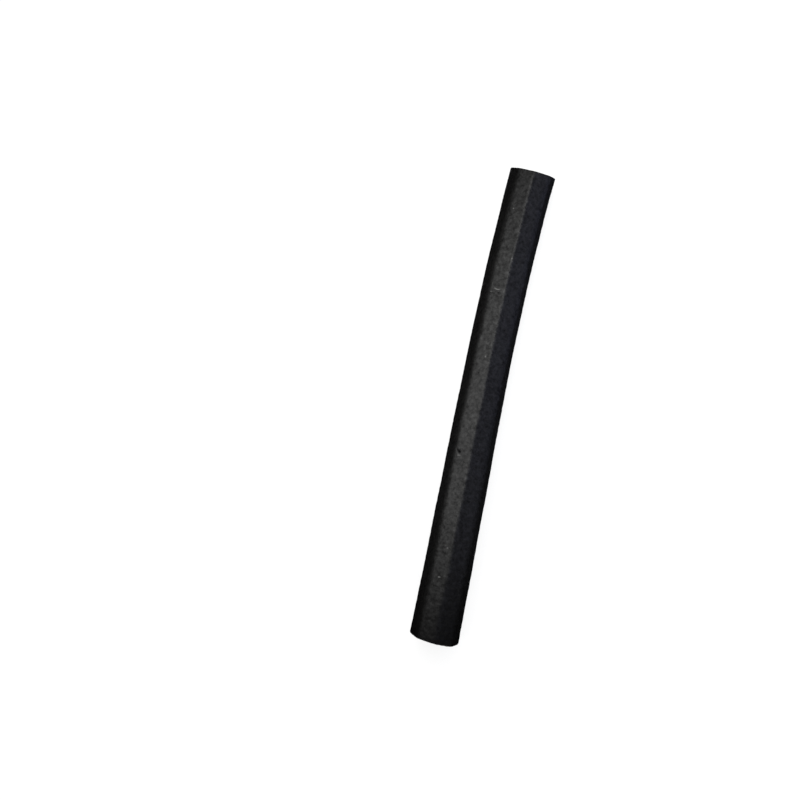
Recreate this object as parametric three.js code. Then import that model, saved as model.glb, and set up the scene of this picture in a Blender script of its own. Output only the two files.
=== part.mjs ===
// A stick of hard licorice extract, lying on its flattened underside.
//
// Sizes are in millimetres. +X runs along the stick to its far end, +Y to its left side, +Z up.
// The origin is at the height of the surface under the stick, below the middle of its box.
//
// The stick was pressed to eight faces, with one edge uppermost, a little to the right of the
// middle. The edge that would be lowest is flattened, which makes the ninth, narrow face that it
// rests on. Both ends are cut on the same slant, and the whole stick has a slight bow to its left.

import * as THREE from 'three';

// Driving dimensions
const LENGTH = 95; // along the centre line, between the cuts
const WIDTH_FAR = 9.1; // across the side edges, at the far end
const WIDTH_WAIST = 8.63; // where the stick is slimmest
const WIDTH_NEAR = 9.0; // at the near end
const WAIST_AT = 0.62; // the waist's share of the length, from the near end
const BOW_TOWARDS_FAR = 1.79; // how far the bow's two control points stand to the left
const BOW_TOWARDS_NEAR = 0.28;
const REST_FACE_WIDTH = 3.0; // the flattened edge underneath, before its own edges are rounded
const TOP_EDGE_LEAN = 4; // degrees from straight up to the top edge, towards the right

// Edges along the stick
const TOP_EDGE_RADIUS = 0.9;
const SIDE_EDGE_RADIUS = 2.2;
const REST_EDGE_RADIUS = 1.2;
const TOP_EDGE_RADIUS_NEAR = 2.2; // the top edge is softer at the near end
const SOFTER_FROM = 0.25; // share of the length, from the near end, where that begins

// End cuts
const CUT_SLANT_SIDE = 0.06; // how much further on the cut is, for each millimetre to the left
const CUT_SLANT_UP = -0.4; // and for each millimetre upwards
const FAR_RIM_RADIUS = 0.2; // the rounded rim of the far cut
const NEAR_RIM_RADIUS = 0.35; // and of the near one
const WORN_RIM_RADIUS = 0.45; // the near cut's rim on its right side
const WORN_RIM_DIRECTION = -100; // degrees round the section, from the top towards the left
const CUT_CROWN = 0.3; // how far the middle of a cut stands out

// Unevenness of the pressed faces
const LONG_WAVE_HEIGHT = 0.035;
const LONG_WAVE_LENGTH = 41;
const SHORT_WAVE_HEIGHT = 0.017;
const SHORT_WAVE_LENGTH = 17;
const LONG_WAVE_SHIFT = 2.4; // radians from one face's wave to the next one's
const SHORT_WAVE_SHIFT = 5.8;

// Fineness of the faceting
const RINGS = 48;
const ARC_STEPS = 4;
const FACE_STEPS = 2;
const RIM_STEPS = 3;
const CUT_STEPS = 3;

const EXTRACT = new THREE.MeshStandardMaterial({ color: 0x17161a, roughness: 0.42, metalness: 0 });

const radians = THREE.MathUtils.degToRad;

// The eight pressed faces look 22.5 degrees to each side of the top edge and on round the stick,
// and the ninth looks down. An angle is counted from straight up towards the left.
const HALF_FACE = radians(22.5);
const DOWN = Math.PI;
const angleOf = (step) => step * HALF_FACE - radians(TOP_EDGE_LEAN);
const FACE_ANGLES = [...[1, 3, 5, 7].map(angleOf), DOWN, ...[9, 11, 13, 15].map(angleOf)];

// Width across the side edges, a smooth curve through the ends and the waist.
function widthAt(along) {
  const towardsFar = along > WAIST_AT;
  const reach = towardsFar ? 1 - WAIST_AT : WAIST_AT;
  const end = towardsFar ? WIDTH_FAR : WIDTH_NEAR;
  return WIDTH_WAIST + (end - WIDTH_WAIST) * ((along - WAIST_AT) / reach) ** 2;
}

// Distance from the centre line to a pressed face of a stick of this width.
function faceDistance(width) {
  const lean = Math.cos(HALF_FACE);
  return (width / 2 - SIDE_EDGE_RADIUS) * lean + SIDE_EDGE_RADIUS;
}

// Height of the centre line over the rest face.
function centreHeight(width) {
  const short = REST_FACE_WIDTH / 2 * Math.sin(HALF_FACE);
  return (faceDistance(width) - short) / Math.cos(HALF_FACE);
}

// The pressed faces aren't quite flat along the stick. Each has a low wave of its own.
function waveOf(face, along) {
  const turns = 2 * Math.PI * LENGTH * along;
  const long = LONG_WAVE_HEIGHT * Math.sin(turns / LONG_WAVE_LENGTH + LONG_WAVE_SHIFT * face);
  const short = SHORT_WAVE_HEIGHT * Math.sin(turns / SHORT_WAVE_LENGTH + SHORT_WAVE_SHIFT * face);
  return long + short;
}

function topEdgeRadius(along) {
  const softness = 1 - THREE.MathUtils.smoothstep(along, 0, SOFTER_FROM);
  return THREE.MathUtils.lerp(TOP_EDGE_RADIUS, TOP_EDGE_RADIUS_NEAR, softness);
}

// The rounded edge between two faces: an arc that touches both. Points are (left, up) pairs.
function edgeArc(first, second, radius) {
  const turn = Math.sin(first.angle - second.angle);
  const inFirst = first.distance - radius;
  const inSecond = second.distance - radius;
  const left = (inFirst * Math.cos(second.angle) - inSecond * Math.cos(first.angle)) / turn;
  const up = (inSecond * Math.sin(first.angle) - inFirst * Math.sin(second.angle)) / turn;
  const points = [];
  for (let step = 0; step <= ARC_STEPS; step += 1) {
    const angle = THREE.MathUtils.lerp(first.angle, second.angle, step / ARC_STEPS);
    points.push(new THREE.Vector2(left + radius * Math.sin(angle), up + radius * Math.cos(angle)));
  }
  return points;
}

// The section at a share of the length from the near end, round its centre, starting at the top.
function sectionAt(along) {
  const width = widthAt(along);
  const restDistance = centreHeight(width);
  const faces = FACE_ANGLES.map((angle, face) => {
    const pressed = faceDistance(width) + waveOf(face, along);
    return { angle, distance: angle === DOWN ? restDistance : pressed };
  });
  const radii = faces.map((face, index) => {
    const next = faces[(index + 1) % faces.length];
    if (index === faces.length - 1) return topEdgeRadius(along);
    return face.angle === DOWN || next.angle === DOWN ? REST_EDGE_RADIUS : SIDE_EDGE_RADIUS;
  });
  const arcs = faces.map((face, index) => {
    const next = faces[(index + 1) % faces.length];
    const pastTop = index === faces.length - 1 ? 2 * Math.PI : 0;
    const onward = { angle: next.angle + pastTop, distance: next.distance };
    return edgeArc(face, onward, radii[index]);
  });
  return arcs.flatMap((arc, index) => {
    const next = arcs[(index + 1) % arcs.length];
    const end = arc[arc.length - 1];
    const across = [];
    for (let step = 1; step < FACE_STEPS; step += 1) {
      across.push(end.clone().lerp(next[0], step / FACE_STEPS));
    }
    return [...arc, ...across];
  });
}

// The bow: how far the centre line stands to the left.
const CENTRE_LINE = new THREE.CubicBezierCurve(
  new THREE.Vector2(0, 0),
  new THREE.Vector2(LENGTH / 3, BOW_TOWARDS_NEAR),
  new THREE.Vector2(2 * LENGTH / 3, BOW_TOWARDS_FAR),
  new THREE.Vector2(LENGTH, 0),
);

// A point of the stick from its place in the section. Every section leans as the cuts do.
function placed(point, along, outward = 0) {
  const centre = CENTRE_LINE.getPoint(THREE.MathUtils.clamp(along, 0, 1));
  const lean = CUT_SLANT_SIDE * point.x + CUT_SLANT_UP * point.y;
  const height = Math.max(0, centreHeight(widthAt(along)) + point.y);
  return new THREE.Vector3(centre.x + outward + lean, centre.y + point.x, height);
}

// Radius of a cut's rim in a direction round the section.
function rimRadius(point, isNear) {
  if (!isNear) return FAR_RIM_RADIUS;
  const direction = Math.atan2(point.x, point.y) - radians(WORN_RIM_DIRECTION);
  const worn = Math.max(0, Math.cos(direction)) ** 2;
  return THREE.MathUtils.lerp(NEAR_RIM_RADIUS, WORN_RIM_RADIUS, worn);
}

// The rings of one end, from the foot of its rounded rim to the last ring round its middle.
function endRings(isNear) {
  const end = isNear ? 0 : 1;
  const outwards = isNear ? -1 : 1;
  const section = sectionAt(end);
  const rings = [];
  for (let step = 0; step <= RIM_STEPS; step += 1) {
    const turn = Math.PI / 2 * step / RIM_STEPS;
    rings.push(section.map((point) => {
      const rim = rimRadius(point, isNear);
      const inset = rim * (1 - Math.cos(turn));
      const inner = point.clone().setLength(point.length() - inset);
      return placed(inner, end, outwards * rim * (Math.sin(turn) - 1));
    }));
  }
  for (let step = 1; step < CUT_STEPS; step += 1) {
    const share = 1 - step / CUT_STEPS;
    rings.push(section.map((point) => {
      const inner = point.clone().setLength((point.length() - rimRadius(point, isNear)) * share);
      return placed(inner, end, outwards * CUT_CROWN * (1 - share ** 2));
    }));
  }
  return rings;
}

// The rings between the two rims.
function sideRings() {
  const rings = [];
  const margin = 2 * WORN_RIM_RADIUS / LENGTH;
  for (let ring = 0; ring < RINGS; ring += 1) {
    const along = THREE.MathUtils.lerp(margin, 1 - margin, ring / (RINGS - 1));
    rings.push(sectionAt(along).map((point) => placed(point, along)));
  }
  return rings;
}

// Closes a row of rings into one body, with a point at each end.
function skin(rings, firstPole, lastPole) {
  const around = rings[0].length;
  const points = [...rings.flat(), firstPole, lastPole];
  const first = points.length - 2;
  const last = points.length - 1;
  const triangles = [];
  for (let step = 0; step < around; step += 1) {
    const next = (step + 1) % around;
    for (let ring = 0; ring < rings.length - 1; ring += 1) {
      const here = ring * around;
      const onward = here + around;
      triangles.push(here + step, onward + step, here + next);
      triangles.push(here + next, onward + step, onward + next);
    }
    const end = (rings.length - 1) * around;
    triangles.push(first, step, next);
    triangles.push(last, end + next, end + step);
  }
  const geometry = new THREE.BufferGeometry().setFromPoints(points);
  geometry.setIndex(triangles);
  return geometry;
}

function stickGeometry() {
  const middle = new THREE.Vector2(0, 0);
  const rings = [...endRings(true).reverse(), ...sideRings(), ...endRings(false)];
  const geometry = skin(rings, placed(middle, 0, -CUT_CROWN), placed(middle, 1, CUT_CROWN));
  geometry.computeBoundingBox();
  const centre = geometry.boundingBox.getCenter(new THREE.Vector3());
  geometry.translate(-centre.x, -centre.y, 0);
  geometry.computeVertexNormals();
  return geometry;
}

const part = new THREE.Group();
const stick = new THREE.Mesh(stickGeometry(), EXTRACT);
stick.name = 'licorice_stick';
part.add(stick);

export default part;
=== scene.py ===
# A stick of hard licorice extract, lying on a plain pale floor.
#
# Sizes are in metres, in the part's own frame: +X runs along the stick to its far end, +Y to its
# left side, +Z up. The stick was pressed to eight faces, with one edge uppermost, a little to the
# right of the middle. The lowest edge is flattened, which makes the ninth face that it rests on.

import math

import bpy
from mathutils import Matrix, Vector


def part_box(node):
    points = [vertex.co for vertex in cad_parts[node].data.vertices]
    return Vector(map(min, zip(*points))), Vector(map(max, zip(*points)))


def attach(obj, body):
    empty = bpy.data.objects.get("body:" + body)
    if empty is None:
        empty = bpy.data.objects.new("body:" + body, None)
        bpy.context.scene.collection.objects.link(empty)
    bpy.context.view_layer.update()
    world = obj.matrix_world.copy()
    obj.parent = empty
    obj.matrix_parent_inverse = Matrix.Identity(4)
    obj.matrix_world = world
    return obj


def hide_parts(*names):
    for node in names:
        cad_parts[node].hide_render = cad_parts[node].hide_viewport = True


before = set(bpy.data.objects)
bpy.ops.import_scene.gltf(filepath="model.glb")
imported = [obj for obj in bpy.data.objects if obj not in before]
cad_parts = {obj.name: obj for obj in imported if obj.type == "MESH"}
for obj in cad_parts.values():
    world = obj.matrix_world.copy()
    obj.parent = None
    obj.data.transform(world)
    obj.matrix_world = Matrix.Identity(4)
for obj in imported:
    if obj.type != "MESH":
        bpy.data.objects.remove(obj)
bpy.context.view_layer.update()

MM = 0.001
NODE = "licorice_stick"

# Driving dimensions
LENGTH = 95 * MM  # along the centre line, between the cuts
WIDTH_FAR = 9.1 * MM  # across the side edges, at the far end
WIDTH_WAIST = 8.63 * MM  # where the stick is slimmest
WIDTH_NEAR = 9.0 * MM  # at the near end
WAIST_AT = 0.62  # the waist's share of the length, from the near end
BOW_TOWARDS_FAR = 1.79 * MM  # how far the bow's two control points stand to the left
BOW_TOWARDS_NEAR = 0.28 * MM
REST_FACE_WIDTH = 3.0 * MM  # the flattened edge underneath, before its own edges are rounded
HALF_FACE = math.radians(22.5)  # half the turn from one pressed face to the next
TOP_EDGE_LEAN = 4  # degrees from straight up to the top edge, towards the right

# Edges along the stick
TOP_EDGE_RADIUS = 0.9 * MM
TOP_EDGE_RADIUS_NEAR = 2.2 * MM  # the top edge is softer at the near end
SOFTER_FROM = 0.25  # share of the length, from the near end, where that begins
SIDE_EDGE_RADIUS = 2.2 * MM
REST_EDGE_RADIUS = 1.2 * MM

# End cuts
CUT_SLANT_SIDE = 0.06  # how much further on the cut is, for each millimetre to the left
CUT_SLANT_UP = -0.4  # and for each millimetre upwards
FAR_RIM_RADIUS = 0.2 * MM  # the rounded rim of the far cut
NEAR_RIM_RADIUS = 0.35 * MM  # and of the near one
WORN_RIM_RADIUS = 0.45 * MM  # the near cut's rim on its right side
WORN_RIM_DIRECTION = -100  # degrees round the section, from the top towards the left
CUT_CROWN = 0.3 * MM  # how far the middle of a cut stands out

# Low waves of the pressed faces
LONG_WAVE_HEIGHT = 0.035 * MM
LONG_WAVE_LENGTH = 41 * MM
LONG_WAVE_SHIFT = 2.4  # radians from one face's wave to the next one's
SHORT_WAVE_HEIGHT = 0.017 * MM
SHORT_WAVE_LENGTH = 17 * MM
SHORT_WAVE_SHIFT = 5.8

# Layout of the mesh. Faces and corners are numbered from the top round by the left.
CORNERS = 9
REST_FACE = 4
ARC_STEPS = 8  # points round each edge
RUN_STEPS = 9  # and across each face
SIDE_RINGS = 560
RIM_RINGS = 5
CUT_RINGS = 22
WELD_DISTANCE = 0.0005 * MM
ON_CUT_FROM = math.radians(25)  # the turn round a rim where the look of a cut begins
ON_CUT_FULL = math.radians(70)
ON_RIM_FROM = 0.86  # share of the way out from the middle of a cut where its rim begins

# Relief of the surface
UNEVEN_HEIGHT = 0.03 * MM
UNEVEN_LENGTH = 5.5 * MM
DIMPLE_HEIGHT = 0.02 * MM
DIMPLE_LENGTH = 1.7 * MM
GRAIN_HEIGHT = 0.07 * MM
GRAIN_LENGTH = 0.8 * MM
DRAG_HEIGHT = 0.006 * MM  # faint lines along the stick
DRAG_WIDTH = 0.9 * MM
DRAG_STRETCH = 0.04  # their width as a share of their length
NICK_DEPTH = 0.03 * MM  # small losses from the rims
NICK_LENGTH = 1.3 * MM
NICK_FROM = 0.15  # the level of their noise where a nick begins
NICK_FULL = 0.7
SETTLED_BELOW = 0.02 * MM  # there is no relief below this height, so that the stick lies flat
RAISED_ABOVE = 0.8 * MM  # and all of it above this one
SEED = 7

# Pores, which are sunk into the mesh, and small pores, which the finish has alone
PORE_SPACING = 2.6 * MM
PORE_SHARE = 0.3  # of the places that could have one
PORE_RADIUS = 0.17 * MM
PORE_DEPTH = 0.07 * MM
PORE_SHADE_SHARE = 0.6  # of a pit's painted shade
SMALL_PORE_SPACING = 0.85 * MM
SMALL_PORE_SHARE = 0.6
SMALL_PORE_RADIUS = 0.2 * MM
SMALL_PORE_DEPTH = 0.05 * MM
PORE_SMALLEST = 0.5  # the smallest pore, as a share of the radius
PORE_VARIETY = 0.6  # how much larger the largest is
PORE_CORE = 0.2  # share of a pore's reach that is at its full depth

# Knife lines on the cuts
KNIFE_HEIGHT = 0.04 * MM
KNIFE_SPACING = 0.55 * MM
KNIFE_RISE = 0.94  # the way across the lines goes this much up
KNIFE_SIDE = 0.34  # and this much to the left
KNIFE_BEND = 22  # how strongly the lines are bent, for each metre
KNIFE_WANDER = 0.5 * MM
KNIFE_WANDER_LENGTH = 2.4 * MM
KNIFE_FINE_SPACING = 0.2 * MM
KNIFE_FINE_STRETCH = 0.06  # width of a fine line as a share of its length
KNIFE_WIDE_SHARE = 0.45
KNIFE_FINE_SHARE = 0.9

# Marks that are plain to see, each with its place and its reach along the stick and across it
PALE_MARKS = [
    (Vector((37.29, 1.91, 7.94)) * MM, 0.16 * MM, 0.2 * MM),
    (Vector((26.67, 0.16, 8.36)) * MM, 0.34 * MM, 0.18 * MM),
    (Vector((20.0, 1.55, 7.92)) * MM, 0.19 * MM, 0.6 * MM),  # the scuff
    (Vector((20.2, 2.1, 7.7)) * MM, 0.13 * MM, 0.4 * MM),
    (Vector((19.5, 2.75, 7.4)) * MM, 0.14 * MM, 0.3 * MM),
    (Vector((6.05, 1.18, 8.08)) * MM, 0.34 * MM, 0.13 * MM),
    (Vector((-13.85, 2.2, 7.63)) * MM, 0.14 * MM, 0.44 * MM),  # the fleck beside the pit
    (Vector((-31.58, 0.61, 8.23)) * MM, 0.15 * MM, 0.24 * MM),
    (Vector((-37.1, 0.99, 8.12)) * MM, 0.16 * MM, 0.36 * MM),
]
PITS = [  # the same, and then its depth
    (Vector((-13.1, 2.3, 7.62)) * MM, 0.36 * MM, 0.3 * MM, 0.4 * MM),  # the pit
    (Vector((-12.75, 2.64, 7.49)) * MM, 0.28 * MM, 0.26 * MM, 0.15 * MM),
    (Vector((-15.03, 1.0, 8.03)) * MM, 0.24 * MM, 0.24 * MM, 0.1 * MM),
    (Vector((2.72, 1.84, 7.85)) * MM, 0.22 * MM, 0.2 * MM, 0.1 * MM),
    (Vector((19.4, 1.3, 8.0)) * MM, 0.16 * MM, 0.45 * MM, 0.08 * MM),  # grooves of the scuff
    (Vector((19.2, 2.3, 7.6)) * MM, 0.16 * MM, 0.4 * MM, 0.08 * MM),
]
MARK_CORE = 0.3  # share of a mark's reach where it is whole
MARK_RAGGED = 0.3  # how uneven its edge is
PIT_RAGGED_LENGTH = 0.28 * MM

# Colours, and the dust that greys the black a little
BLACK = (0.0008, 0.0007, 0.0007, 1)
DUSTY = (0.03, 0.03, 0.029, 1)
PALE = (0.075, 0.075, 0.072, 1)
DUST_STRENGTH = 0.06
DUST_BY_GRAIN = 0.7
DUST_BY_FINE_GRAIN = 0.3
DUST_BY_CLOUDS = 0.3
DUST_FROM = 0.05  # the level of these together where dust begins
DUST_FULL = 0.75

# Grain of the finish
COLOUR_GRAIN_LENGTH = 0.5 * MM
FINE_GRAIN_LENGTH = 0.17 * MM
CLOUD_LENGTH = 3.5 * MM
GRAIN_BUMP = 0.07 * MM
FINE_GRAIN_BUMP = 0.01 * MM

# Sheen of the bare black under the film, which is faint
BARE_SPECULAR = 0.07
ROUGHNESS = 0.48
ROUGHNESS_OF_CLOUDS = 0.04
ROUGHNESS_OF_GRAIN = 0.06
ROUGHNESS_OF_PIT = 0.3
SMOOTHNESS_OF_CUT = 0.16

# Film on the surface, which gives the sheen. Its sheen fades out towards the near end, which paints shade
# there.
FILM = 0.86
FILM_ROUGHNESS = 0.48
FILM_MOTTLING = 1.4
MOTTLING_LENGTH = 0.62 * MM
# Painted shade in the small pores: the share of the film's sheen that they lose
PORE_PAINTED_SHADE = 0.7
CUT_EVENNESS = 0.7  # how much less mottled the cuts are, and how much less of the painted shade at the near end they take
# Painted shade: where the film's sheen starts to fade towards the near end, and where it is faded fully
PAINTED_SHADE_FROM = -22 * MM
PAINTED_SHADE_FULL = -65 * MM

# Camera: the lens and place that give the outline of the stick its true shape
LENS = 72
SENSOR = 36
LOOKS_AT = Vector((-3.163, 15.62, 0)) * MM
CAMERA_DISTANCE = 306.65 * MM
CAMERA_LEAN = math.radians(18.609)  # off straight down
CAMERA_TURN = math.radians(12.360)  # of the picture's up, from +X towards +Y

# Floor and surround
FLOOR_SIZE = 6
FLOOR_GAP = 0.02 * MM
FLOOR_TONE = 0.22
FLOOR_GLOW = 0.8  # a lit table: what it gives off itself keeps the shadow on it faint
SKY_STRENGTH = 1.0
SKY_IN_GLOSS = 0.015  # what the gloss of the stick sees of the surround, above the horizon
SKY_LOW = -0.05  # the rise of a direction where that begins
SKY_HIGH = 0.15
NEAR_IN_GLOSS = 0.35  # and towards the near end, where it is brighter
NEAR_FROM = -0.25  # the reach of a direction along +X where that begins
NEAR_FULL = -0.7

# Softboxes
KEY_DISTANCE = 0.09
KEY_RADIANCE = 2.3
KEY_COLOUR = (1, 1, 0.99)
FILL_DISTANCE = 0.12
FILL_RADIANCE = 0.29
FILL_COLOUR = (0.84, 0.9, 1.32)
SIDE_DISTANCE = 0.3
SIDE_RADIANCE = 0.5
SIDE_COLOUR = (1, 1, 1)


class Wire:
    """A socket of a node tree. Arithmetic on it adds Math nodes to that tree."""

    def __init__(self, nodes, socket):
        self.nodes = nodes
        self.socket = socket

    def __add__(self, other):
        return self.nodes.math("ADD", self, other)

    __radd__ = __add__

    def __sub__(self, other):
        return self.nodes.math("SUBTRACT", self, other)

    def __rsub__(self, other):
        return self.nodes.math("SUBTRACT", other, self)

    def __mul__(self, other):
        return self.nodes.math("MULTIPLY", self, other)

    __rmul__ = __mul__

    def __truediv__(self, other):
        return self.nodes.math("DIVIDE", self, other)

    def __rtruediv__(self, other):
        return self.nodes.math("DIVIDE", other, self)

    def __gt__(self, other):
        return self.nodes.math("GREATER_THAN", self, other)

    def __lt__(self, other):
        return self.nodes.math("LESS_THAN", self, other)


class Nodes:
    """A node tree that is being wired up."""

    def __init__(self, tree):
        self.tree = tree
        self.given_values = {}

    def add(self, kind, settings=None, sockets=None, output=0):
        """Adds a node, sets it, then fills its sockets, and gives back one of its outputs."""
        node = self.tree.nodes.new(kind)
        for name, value in (settings or {}).items():
            setattr(node, name, value)
        for place, value in (sockets or {}).items():
            socket = self.socket_at(node.inputs, place)
            if isinstance(value, Wire):
                self.tree.links.new(value.socket, socket)
            else:
                socket.default_value = value
        if not node.outputs:
            return node
        return Wire(self, self.socket_at(node.outputs, output))

    def socket_at(self, sockets, place):
        """A node's socket by its number, its identifier or its name."""
        if isinstance(place, int):
            return sockets[place]
        for socket in sockets:
            if socket.identifier == place:
                return socket
        return sockets[place]

    def other(self, wire, output):
        """Another output of the node that a wire comes from."""
        return Wire(self, self.socket_at(wire.socket.node.outputs, output))

    def math(self, operation, *values):
        return self.add("ShaderNodeMath", {"operation": operation}, dict(enumerate(values)))

    def smooth(self, value, low, high, start=0.0, end=1.0):
        """Goes smoothly from start to end while the value goes from low to high."""
        sockets = {"Value": value, "From Min": low, "From Max": high, "To Min": start, "To Max": end}
        return self.add("ShaderNodeMapRange", {"interpolation_type": "SMOOTHSTEP"}, sockets)

    def mix(self, share, first, second):
        sockets = {"Factor_Float": share, "A_Float": first, "B_Float": second}
        return self.add("ShaderNodeMix", {"data_type": "FLOAT"}, sockets, "Result_Float")

    def mix_colour(self, share, first, second):
        sockets = {"Factor_Float": share, "A_Color": first, "B_Color": second}
        return self.add("ShaderNodeMix", {"data_type": "RGBA"}, sockets, "Result_Color")

    def vector(self, x, y, z):
        return self.add("ShaderNodeCombineXYZ", None, {0: x, 1: y, 2: z})

    def vector_math(self, operation, first, second, output=0):
        return self.add("ShaderNodeVectorMath", {"operation": operation}, {0: first, 1: second}, output)

    def scaled(self, vector, scale):
        settings = {"operation": "SCALE"}
        return self.add("ShaderNodeVectorMath", settings, {"Vector": vector, "Scale": scale})

    def distance(self, place, point):
        return self.vector_math("DISTANCE", place, point, "Value")

    def noise(self, place, length, detail=2.0, roughness=0.5, shift=0.0):
        """Noise from -1 to 1 or so, of a wave length in metres."""
        settings = {"noise_dimensions": "4D"}
        sockets = {
            "Vector": place,
            "W": shift,
            "Scale": 1 / length,
            "Detail": detail,
            "Roughness": roughness,
        }
        return (self.add("ShaderNodeTexNoise", settings, sockets) - 0.5) * 2

    def given(self, name, value):
        """A named input of the tree, and the value that it is run with."""
        kind = "NodeSocketInt" if isinstance(value, int) else "NodeSocketFloat"
        item = self.tree.interface.new_socket(name, in_out="INPUT", socket_type=kind)
        item.default_value = value
        self.given_values[item.identifier] = value
        entry = self.tree.nodes.get("Given") or self.tree.nodes.new("NodeGroupInput")
        entry.name = "Given"
        return Wire(self, self.socket_at(entry.outputs, item.identifier))


# Form of the stick


class StickForm:
    """The bare form, by the same rules as the CAD solid, worked out point by point."""

    def __init__(self, nodes):
        self.nodes = nodes
        given = nodes.given
        self.length = given("Length", LENGTH)
        self.width_far = given("Width at the far end", WIDTH_FAR)
        self.width_waist = given("Width at the waist", WIDTH_WAIST)
        self.width_near = given("Width at the near end", WIDTH_NEAR)
        self.waist_at = given("Waist at", WAIST_AT)
        self.bow_far = given("Bow towards the far end", BOW_TOWARDS_FAR)
        self.bow_near = given("Bow towards the near end", BOW_TOWARDS_NEAR)
        self.rest_width = given("Rest face width", REST_FACE_WIDTH)
        self.top_lean = given("Lean of the top edge", math.radians(TOP_EDGE_LEAN))
        self.top_radius = given("Top edge radius", TOP_EDGE_RADIUS)
        self.top_radius_near = given("Top edge radius, near end", TOP_EDGE_RADIUS_NEAR)
        self.side_radius = given("Side edge radius", SIDE_EDGE_RADIUS)
        self.rest_radius = given("Rest edge radius", REST_EDGE_RADIUS)
        self.slant_side = given("Cut slant to the side", CUT_SLANT_SIDE)
        self.slant_up = given("Cut slant upwards", CUT_SLANT_UP)
        self.far_rim = given("Far rim radius", FAR_RIM_RADIUS)
        self.near_rim = given("Near rim radius", NEAR_RIM_RADIUS)
        self.worn_rim = given("Worn rim radius", WORN_RIM_RADIUS)
        self.crown = given("Cut crown", CUT_CROWN)
        self.long_wave = given("Long wave height", LONG_WAVE_HEIGHT)
        self.short_wave = given("Short wave height", SHORT_WAVE_HEIGHT)
        self.half_face_cosine = math.cos(HALF_FACE)
        self.half_face_sine = math.sin(HALF_FACE)

    def lay_out(self, row, step):
        """What the rest needs to know of a point, from its ring and its place in the ring."""
        nodes = self.nodes
        last_row = SIDE_RINGS + 2 * (RIM_RINGS + CUT_RINGS) - 1
        self.is_far = row > last_row / 2
        from_end = nodes.math("MINIMUM", row, last_row - row)
        self.share = nodes.math("MINIMUM", from_end / CUT_RINGS, 1.0)
        up_the_rim = nodes.math("MAXIMUM", (from_end - CUT_RINGS) / RIM_RINGS, 0.0)
        self.rim_turn = (1 - nodes.math("MINIMUM", up_the_rim, 1.0)) * (math.pi / 2)
        self.in_end = from_end < CUT_RINGS + RIM_RINGS + 0.5
        margin = 2 * WORN_RIM_RADIUS / LENGTH
        first_side = CUT_RINGS + RIM_RINGS
        on_side = (row - first_side) / (SIDE_RINGS - 1) * (1 - 2 * margin) + margin
        self.along = nodes.mix(self.in_end, on_side, self.is_far)
        self.corner = nodes.math("FLOOR", (step + 0.5) / (ARC_STEPS + RUN_STEPS))
        in_corner = step - self.corner * (ARC_STEPS + RUN_STEPS)
        self.round_arc = nodes.math("MINIMUM", in_corner / ARC_STEPS, 1.0)
        self.across = nodes.math("MAXIMUM", (in_corner - ARC_STEPS) / RUN_STEPS, 0.0)

    def size_section(self):
        """The width, and what follows from it, at a share of the length from the near end."""
        nodes = self.nodes
        beyond = self.along > self.waist_at
        reach = nodes.mix(beyond, self.waist_at, 1 - self.waist_at)
        end_width = nodes.mix(beyond, self.width_near, self.width_far)
        off_waist = (self.along - self.waist_at) / reach
        width = self.width_waist + (end_width - self.width_waist) * off_waist * off_waist
        self.face_distance = (width / 2 - self.side_radius) * self.half_face_cosine + self.side_radius
        short = self.rest_width / 2 * self.half_face_sine
        self.centre_height = (self.face_distance - short) / self.half_face_cosine
        softness = nodes.smooth(self.along, 0.0, SOFTER_FROM, start=1.0, end=0.0)
        self.top_here = nodes.mix(softness, self.top_radius, self.top_radius_near)

    def face_angle(self, face):
        """Where a face looks, counted from straight up towards the left."""
        from_rest = face > REST_FACE - 0.5
        past_rest = face > REST_FACE + 0.5
        half_steps = 1 + 2 * face - from_rest - past_rest
        is_pressed = 1 - from_rest + past_rest
        return half_steps * HALF_FACE - is_pressed * self.top_lean

    def face_out(self, face):
        """Distance of a face from the centre line, with the low wave that a pressed face has."""
        nodes = self.nodes
        turned = nodes.math("FLOORED_MODULO", face, float(CORNERS))
        turns = self.along * self.length * (2 * math.pi)
        long_swing = nodes.math("SINE", turns / LONG_WAVE_LENGTH + turned * LONG_WAVE_SHIFT)
        short_swing = nodes.math("SINE", turns / SHORT_WAVE_LENGTH + turned * SHORT_WAVE_SHIFT)
        pressed = self.face_distance + self.long_wave * long_swing + self.short_wave * short_swing
        is_rest = nodes.math("COMPARE", turned, float(REST_FACE), 0.1)
        return nodes.mix(is_rest, pressed, self.centre_height)

    def edge_radius(self, corner):
        """Radius of the edge after a face. Those of the rest face and of the top differ."""
        nodes = self.nodes
        by_rest = nodes.math("COMPARE", corner, REST_FACE - 0.5, 0.6)
        is_top = nodes.math("COMPARE", corner, CORNERS - 1.0, 0.1)
        return nodes.mix(is_top, nodes.mix(by_rest, self.side_radius, self.rest_radius), self.top_here)

    def on_edge(self, corner, angle):
        """Left and up of the point of a rounded edge that looks in the direction of an angle."""
        nodes = self.nodes
        radius = self.edge_radius(corner)
        first = self.face_angle(corner)
        second = self.face_angle(corner + 1)
        turn = nodes.math("SINE", first - second)
        in_first = self.face_out(corner) - radius
        in_second = self.face_out(corner + 1) - radius
        left = (in_first * nodes.math("COSINE", second) - in_second * nodes.math("COSINE", first)) / turn
        up = (in_second * nodes.math("SINE", first) - in_first * nodes.math("SINE", second)) / turn
        return left + radius * nodes.math("SINE", angle), up + radius * nodes.math("COSINE", angle)

    def section_point(self):
        """Left and up of the point from the centre line, on an edge or on the face after it."""
        nodes = self.nodes
        first = self.face_angle(self.corner)
        second = self.face_angle(self.corner + 1)
        angle = nodes.mix(self.round_arc, first, second)
        left, up = self.on_edge(self.corner, angle)
        next_left, next_up = self.on_edge(self.corner + 1, second)
        return nodes.mix(self.across, left, next_left), nodes.mix(self.across, up, next_up)

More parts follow.
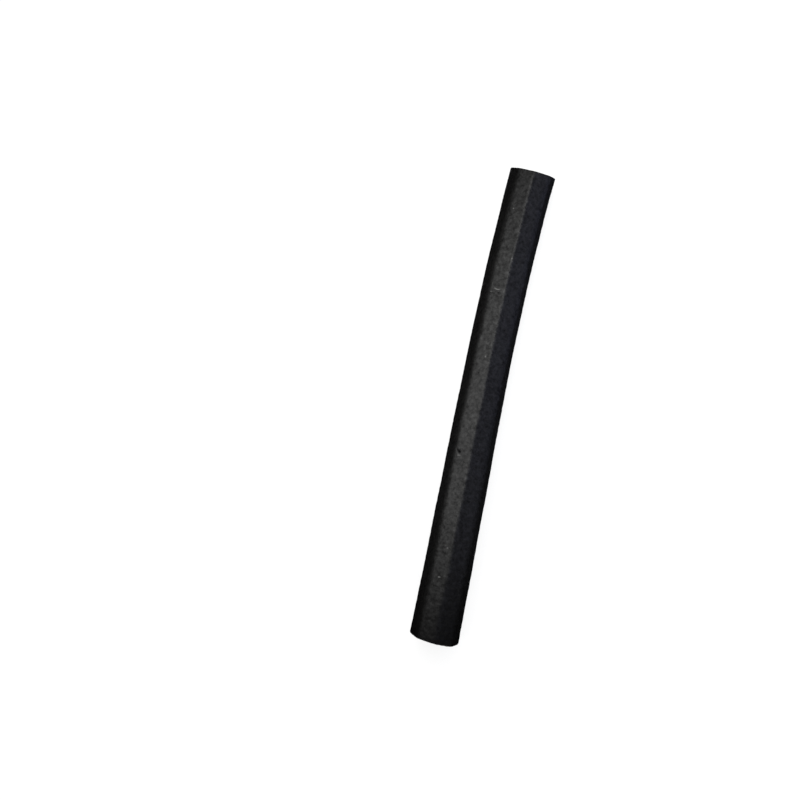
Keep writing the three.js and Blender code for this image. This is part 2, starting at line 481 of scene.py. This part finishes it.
    def rim_radius(self, left, up):
        """Radius of a cut's rim in a direction round the section."""
        nodes = self.nodes
        direction = nodes.math("ARCTAN2", left, up) - math.radians(WORN_RIM_DIRECTION)
        facing = nodes.math("MAXIMUM", nodes.math("COSINE", direction), 0.0)
        near = nodes.mix(facing * facing, self.near_rim, self.worn_rim)
        return nodes.mix(self.is_far, near, self.far_rim)

    def place(self):
        """Where the point goes, before the stick is centred."""
        nodes = self.nodes
        left, up = self.section_point()
        rim = self.rim_radius(left, up)
        inset = rim * (1 - nodes.math("COSINE", self.rim_turn))
        reach = nodes.math("SQRT", left * left + up * up)
        inwards = (reach - inset) * self.share / reach
        left = left * inwards
        up = up * inwards
        bulge = self.crown * (1 - self.share * self.share)
        outward = self.in_end * (rim * (nodes.math("SINE", self.rim_turn) - 1) + bulge)
        to_the_end = self.is_far * 2 - 1
        back = 1 - self.along
        bow = 3 * self.along * back * (back * self.bow_near + self.along * self.bow_far)
        x = self.along * self.length + to_the_end * outward + self.slant_side * left + self.slant_up * up
        z = nodes.math("MAXIMUM", self.centre_height + up, 0.0)
        return nodes.vector(x, bow + left, z)


def knife_lines(nodes, place):
    """Fine ridges that the blade left across a cut, a little bent and unevenly spaced."""
    parts = nodes.add("ShaderNodeSeparateXYZ", None, {0: place})
    left = nodes.other(parts, 1)
    up = nodes.other(parts, 2)
    wander = nodes.noise(place, KNIFE_WANDER_LENGTH) * KNIFE_WANDER
    across = up * KNIFE_RISE + left * KNIFE_SIDE + left * left * KNIFE_BEND + wander
    wide = nodes.math("SINE", across * (2 * math.pi / KNIFE_SPACING))
    stretched = nodes.vector(across, left * KNIFE_FINE_STRETCH, 0.0)
    fine = nodes.noise(stretched, KNIFE_FINE_SPACING, detail=1.0)
    return wide * KNIFE_WIDE_SHARE + fine * KNIFE_FINE_SHARE


def within(nodes, place, centre, along, across, ragged):
    """One in the middle of a mark and none past its edge, which is ragged."""
    off = nodes.vector_math("SUBTRACT", place, tuple(centre))
    reach = nodes.distance(nodes.vector_math("DIVIDE", off, (along, across, across)), (0, 0, 0))
    return nodes.smooth(reach + ragged, MARK_CORE, 1.0, start=1.0, end=0.0)


def pores(nodes, place, spacing, radius, share, shift):
    """Small round hollows at random places. One in the middle of each, and none outside them."""
    settings = {"voronoi_dimensions": "4D"}
    cells = nodes.add("ShaderNodeTexVoronoi", settings, {"Vector": place, "W": shift, "Scale": 1 / spacing})
    chance = nodes.add("ShaderNodeSeparateXYZ", None, {0: nodes.other(cells, "Color")})
    there = chance < share
    size = nodes.other(chance, 1) * PORE_VARIETY + PORE_SMALLEST
    off = cells * spacing / (size * radius)
    return there * nodes.smooth(off, PORE_CORE, 1.0, start=1.0, end=0.0)


def relief_height(nodes, place, cut, rim, seed):
    """How far the surface stands out of the bare form, and how deep in a pit a point is."""
    parts = nodes.add("ShaderNodeSeparateXYZ", None, {0: place})
    height = nodes.other(parts, 2)
    given = nodes.given
    uneven = nodes.noise(place, UNEVEN_LENGTH, detail=1.0, shift=seed)
    dimple = nodes.noise(place, DIMPLE_LENGTH, roughness=0.6, shift=seed + 3)
    everywhere = uneven * given("Unevenness", UNEVEN_HEIGHT) + dimple * given("Dimples", DIMPLE_HEIGHT)
    grain = nodes.noise(place, GRAIN_LENGTH, detail=1.0, shift=seed + 4)
    stretched = nodes.vector_math("MULTIPLY", place, (DRAG_STRETCH, 1, 1))
    drag = nodes.noise(stretched, DRAG_WIDTH, roughness=0.6, shift=seed + 5)
    on_sides = grain * given("Grain", GRAIN_HEIGHT) + drag * given("Drag lines", DRAG_HEIGHT)
    on_cuts = knife_lines(nodes, place) * given("Knife lines", KNIFE_HEIGHT)
    raised = everywhere + on_sides * (1 - cut) + on_cuts * cut

    pore = pores(nodes, place, PORE_SPACING, PORE_RADIUS, PORE_SHARE, seed + 7)
    ragged = nodes.noise(place, PIT_RAGGED_LENGTH) * MARK_RAGGED
    # Mask of the pits and pores, which are also sunk into the mesh. The finish paints shade into them: it
    # takes away their film and dust and makes them rougher, so they look darker.
    pit = pore * PORE_SHADE_SHARE
    pit_depth = pore * PORE_DEPTH
    for centre, along, across, depth in PITS:
        inside = within(nodes, place, centre, along, across, ragged)
        pit = nodes.math("MAXIMUM", pit, inside)
        pit_depth = pit_depth + inside * depth
    loss = nodes.noise(place, NICK_LENGTH, detail=3.0, roughness=0.6, shift=seed + 9)
    nick = nodes.smooth(loss, NICK_FROM, NICK_FULL)
    sunk = pit_depth + nick * rim * NICK_DEPTH
    off_the_floor = nodes.smooth(height, SETTLED_BELOW, RAISED_ABOVE)
    return (raised - sunk) * off_the_floor, pit


def stored(nodes, geometry, name, value):
    """The geometry, with a value of each point kept under a name."""
    sockets = {"Geometry": geometry, "Name": name, "Value": value}
    return nodes.add("GeometryNodeStoreNamedAttribute", {"data_type": "FLOAT", "domain": "POINT"}, sockets)


def set_position(nodes, geometry, position=None, offset=None):
    """The geometry, with its points put at a position or moved by an offset."""
    sockets = {"Geometry": geometry}
    if position is not None:
        sockets["Position"] = position
    if offset is not None:
        sockets["Offset"] = offset
    return nodes.add("GeometryNodeSetPosition", None, sockets)


def stick_tree(material):
    """The tree that makes the stick: a tube of rings, placed by rule, centred, then given its relief."""
    tree = bpy.data.node_groups.new("Pressed stick", "GeometryNodeTree")
    tree.interface.new_socket("Geometry", in_out="OUTPUT", socket_type="NodeSocketGeometry")
    nodes = Nodes(tree)
    form = StickForm(nodes)
    seed = nodes.given("Seed", SEED)

    # A tube with a point for each ring and each step round it
    round_steps = CORNERS * (ARC_STEPS + RUN_STEPS)
    rows = SIDE_RINGS + 2 * (RIM_RINGS + CUT_RINGS)
    sockets = {"Vertices": round_steps, "Side Segments": rows - 1, "Radius": 1.0, "Depth": 1.0}
    tube = nodes.add("GeometryNodeMeshCylinder", {"fill_type": "NONE"}, sockets)
    parts = nodes.add("ShaderNodeSeparateXYZ", None, {0: nodes.add("GeometryNodeInputPosition")})
    turned = nodes.math("ARCTAN2", 0 - nodes.other(parts, 1), parts) / (2 * math.pi)
    row = nodes.math("ROUND", (nodes.other(parts, 2) + 0.5) * (rows - 1))
    step = nodes.math("FLOORED_MODULO", nodes.math("ROUND", turned * round_steps), float(round_steps))

    # The bare form, over the middle of its box
    form.lay_out(row, step)
    form.size_section()
    place = form.place()
    on_cut = nodes.smooth(form.rim_turn, ON_CUT_FROM, ON_CUT_FULL)
    on_rim = nodes.smooth(form.share, ON_RIM_FROM, 1.0) * form.in_end
    shell = stored(nodes, tube, "cut", on_cut)
    shell = stored(nodes, shell, "rim", on_rim)
    shell = set_position(nodes, shell, position=place)
    shell = nodes.add("GeometryNodeMergeByDistance", None, {"Geometry": shell, "Distance": WELD_DISTANCE})
    least = nodes.add("GeometryNodeBoundBox", None, {0: shell}, "Min")
    off_middle = nodes.scaled(nodes.vector_math("ADD", least, nodes.other(least, "Max")), -0.5)
    shell = set_position(nodes, shell, offset=nodes.vector_math("MULTIPLY", off_middle, (1, 1, 0)))

    # Its relief, kept inside the solid's box
    cut = nodes.add("GeometryNodeInputNamedAttribute", {"data_type": "FLOAT"}, {"Name": "cut"})
    rim = nodes.add("GeometryNodeInputNamedAttribute", {"data_type": "FLOAT"}, {"Name": "rim"})
    height, pit = relief_height(nodes, nodes.add("GeometryNodeInputPosition"), cut, rim, seed)
    shell = stored(nodes, shell, "pit", pit)
    shell = set_position(nodes, shell, offset=nodes.scaled(nodes.add("GeometryNodeInputNormal"), height))
    low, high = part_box(NODE)
    inside = nodes.vector_math("MAXIMUM", nodes.add("GeometryNodeInputPosition"), tuple(low))
    shell = set_position(nodes, shell, position=nodes.vector_math("MINIMUM", inside, tuple(high)))

    shell = nodes.add("GeometryNodeSetShadeSmooth", None, {"Geometry": shell, "Shade Smooth": True})
    shell = nodes.add("GeometryNodeRealizeInstances", None, {"Geometry": shell})
    shell = nodes.add("GeometryNodeSetMaterial", None, {"Geometry": shell, "Material": material})
    nodes.add("NodeGroupOutput", None, {0: shell})
    return nodes


def made_by(nodes, name):
    """Runs a tree on an empty object, and keeps the plain mesh that comes out of it."""
    piece = bpy.data.objects.new(name, bpy.data.meshes.new(name))
    bpy.context.scene.collection.objects.link(piece)
    modifier = piece.modifiers.new("Form", "NODES")
    modifier.node_group = nodes.tree
    for identifier, value in nodes.given_values.items():
        modifier[identifier] = value
    graph = bpy.context.evaluated_depsgraph_get()
    mesh = bpy.data.meshes.new_from_object(piece.evaluated_get(graph))
    piece.modifiers.remove(modifier)
    mesh.name = name
    piece.data = mesh
    return piece


# Finish


def extract_material():
    """Near-black hard extract: fine grain, a thin uneven film that shines, and a little pale dust."""
    material = bpy.data.materials.new("Hard licorice extract")
    material.use_nodes = True
    nodes = Nodes(material.node_tree)
    nodes.tree.nodes.clear()
    place = nodes.add("ShaderNodeTexCoord", None, None, "Object")
    cut = nodes.add("ShaderNodeAttribute", {"attribute_name": "cut"}, None, "Fac")
    pit = nodes.add("ShaderNodeAttribute", {"attribute_name": "pit"}, None, "Fac")
    grain = nodes.noise(place, COLOUR_GRAIN_LENGTH, roughness=0.6, shift=1.0)
    fine = nodes.noise(place, FINE_GRAIN_LENGTH, detail=1.0, shift=2.0)
    cloudy = nodes.noise(place, CLOUD_LENGTH, shift=3.0)
    mottled = nodes.noise(place, MOTTLING_LENGTH, detail=3.0, roughness=0.7, shift=4.0)
    pore = pores(nodes, place, SMALL_PORE_SPACING, SMALL_PORE_RADIUS, SMALL_PORE_SHARE, shift=6.0)
    pore = pore * (1 - cut)

    dust_level = grain * DUST_BY_GRAIN + fine * DUST_BY_FINE_GRAIN + cloudy * DUST_BY_CLOUDS
    dust = nodes.smooth(dust_level, DUST_FROM, DUST_FULL)
    mark = 0
    for centre, along, across in PALE_MARKS:
        mark = mark + within(nodes, place, centre, along, across, grain * MARK_RAGGED)
    plain = (1 - cut) * (1 - pit)
    colour = nodes.mix_colour(dust * DUST_STRENGTH * plain, BLACK, DUSTY)
    colour = nodes.mix_colour(nodes.math("MINIMUM", mark, 1.0) * plain, colour, PALE)

    uneven = cloudy * ROUGHNESS_OF_CLOUDS + grain * ROUGHNESS_OF_GRAIN
    roughness = ROUGHNESS + uneven - cut * SMOOTHNESS_OF_CUT + pit * ROUGHNESS_OF_PIT

    far_along = nodes.add("ShaderNodeSeparateXYZ", None, {0: place})
    # Painted shade: the film thins towards the near end, so that end reflects less and looks darker
    painted_shade_near_end = nodes.smooth(far_along, PAINTED_SHADE_FULL, PAINTED_SHADE_FROM, start=1.0, end=0.0)
    off_cut = 1 - cut * CUT_EVENNESS
    mottling = mottled * off_cut * FILM_MOTTLING
    # Painted shade in the small pores, which are only bumps: they lose most of the film. The pits lose all
    # of it below.
    left_by_pore_shade = 1 - pore * PORE_PAINTED_SHADE
    film = (FILM + mottling) * (1 - painted_shade_near_end * off_cut) * (1 - pit) * left_by_pore_shade

    relief = grain * GRAIN_BUMP + fine * FINE_GRAIN_BUMP - pore * SMALL_PORE_DEPTH
    bump = nodes.add("ShaderNodeBump", None, {"Strength": 1.0, "Distance": 1.0, "Height": relief})
    sockets = {
        "Base Color": colour,
        "Roughness": roughness,
        "Specular IOR Level": BARE_SPECULAR,
        "Coat Weight": film,
        "Coat Roughness": FILM_ROUGHNESS,
        "Normal": bump,
    }
    surface = nodes.add("ShaderNodeBsdfPrincipled", None, sockets)
    nodes.add("ShaderNodeOutputMaterial", None, {"Surface": surface})
    return material


def plain_material(name, tone, glow):
    """A matt grey that gives off a little white light itself."""
    material = bpy.data.materials.new(name)
    material.use_nodes = True
    surface = material.node_tree.nodes["Principled BSDF"]
    surface.inputs["Base Color"].default_value = (tone, tone, tone, 1)
    surface.inputs["Roughness"].default_value = 1.0
    surface.inputs["Specular IOR Level"].default_value = 0.0
    surface.inputs["Emission Color"].default_value = (1, 1, 1, 1)
    surface.inputs["Emission Strength"].default_value = glow
    return material


# Floor, light and camera


def make_floor():
    """A plain square floor. The gloss of the stick doesn't see it."""
    mesh = bpy.data.meshes.new("floor")
    half = FLOOR_SIZE / 2
    corners = [(x * half, y * half, -FLOOR_GAP) for x, y in ((-1, -1), (1, -1), (1, 1), (-1, 1))]
    mesh.from_pydata(corners, [], [(0, 1, 2, 3)])
    mesh.materials.append(plain_material("Pale floor", FLOOR_TONE, FLOOR_GLOW))
    floor = bpy.data.objects.new("floor", mesh)
    bpy.context.scene.collection.objects.link(floor)
    floor.visible_glossy = False


def make_sky():
    """An even white surround. The gloss of the stick sees it dimly, except towards the near end."""
    sky = bpy.data.worlds.new("Surround")
    sky.use_nodes = True
    nodes = Nodes(sky.node_tree)
    nodes.tree.nodes.clear()
    direction = nodes.add("ShaderNodeTexCoord", None, None, "Generated")
    towards_far = nodes.add("ShaderNodeSeparateXYZ", None, {0: direction})
    above = nodes.smooth(nodes.other(towards_far, 2), SKY_LOW, SKY_HIGH, end=SKY_IN_GLOSS)
    near = nodes.smooth(towards_far, NEAR_FULL, NEAR_FROM, start=NEAR_IN_GLOSS, end=0.0)
    in_gloss = nodes.add("ShaderNodeLightPath", None, None, "Is Glossy Ray")
    strength = nodes.mix(in_gloss, SKY_STRENGTH, above + near)
    light = nodes.add("ShaderNodeBackground", None, {"Color": (1, 1, 1, 1), "Strength": strength})
    nodes.add("ShaderNodeOutputWorld", None, {"Surface": light})
    bpy.context.scene.world = sky


def make_softbox(name, bearing, elevation, wide, tall, strength):
    """A softbox turned to the stick. Its angles are in degrees, the bearing from +X towards +Y."""
    distance, radiance, colour = strength
    turn = math.radians(bearing)
    rise = math.radians(elevation)
    direction = Vector((math.cos(turn) * math.cos(rise), math.sin(turn) * math.cos(rise), math.sin(rise)))
    light = bpy.data.lights.new(name, "AREA")
    light.shape = "RECTANGLE"
    light.size = 2 * distance * math.tan(math.radians(wide / 2))
    light.size_y = 2 * distance * math.tan(math.radians(tall / 2))
    light.energy = radiance * light.size * light.size_y * math.pi
    light.color = colour
    softbox = bpy.data.objects.new(name, light)
    bpy.context.scene.collection.objects.link(softbox)
    softbox.location = direction * distance
    softbox.rotation_euler = direction.to_track_quat("Z", "Y").to_euler()
    softbox.visible_camera = False


def make_lights():
    make_sky()
    key = KEY_DISTANCE, KEY_RADIANCE, KEY_COLOUR
    fill = FILL_DISTANCE, FILL_RADIANCE, FILL_COLOUR
    side = SIDE_DISTANCE, SIDE_RADIANCE, SIDE_COLOUR
    make_softbox("key", bearing=45, elevation=60, wide=70, tall=36, strength=key)
    make_softbox("fill", bearing=-54, elevation=36, wide=48, tall=108, strength=fill)
    make_softbox("left side", bearing=130, elevation=20, wide=50, tall=32, strength=side)
    make_softbox("right side", bearing=-124, elevation=21, wide=50, tall=34, strength=side)
    make_softbox("far side", bearing=-4, elevation=27, wide=44, tall=30, strength=side)


def make_camera():
    """The camera, above the stick and a little towards its near end."""
    lens = bpy.data.cameras.new("camera")
    lens.lens = LENS
    lens.sensor_width = SENSOR
    lens.clip_start = 0.01
    lens.clip_end = 20
    camera = bpy.data.objects.new("camera", lens)
    bpy.context.scene.collection.objects.link(camera)
    picture_up = Vector((math.cos(CAMERA_TURN), math.sin(CAMERA_TURN), 0))
    forward = picture_up * math.sin(CAMERA_LEAN) - Vector((0, 0, 1)) * math.cos(CAMERA_LEAN)
    right = forward.cross(Vector((0, 0, 1))).normalized()
    turned = Matrix((right, right.cross(forward), -forward)).transposed()
    camera.matrix_world = Matrix.Translation(LOOKS_AT - forward * CAMERA_DISTANCE) @ turned.to_4x4()
    bpy.context.scene.camera = camera


make_camera()
make_lights()
make_floor()
bpy.context.scene.view_settings.view_transform = "Standard"

stick = made_by(stick_tree(extract_material()), "extract_stick")
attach(stick, "root")
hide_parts(NODE)
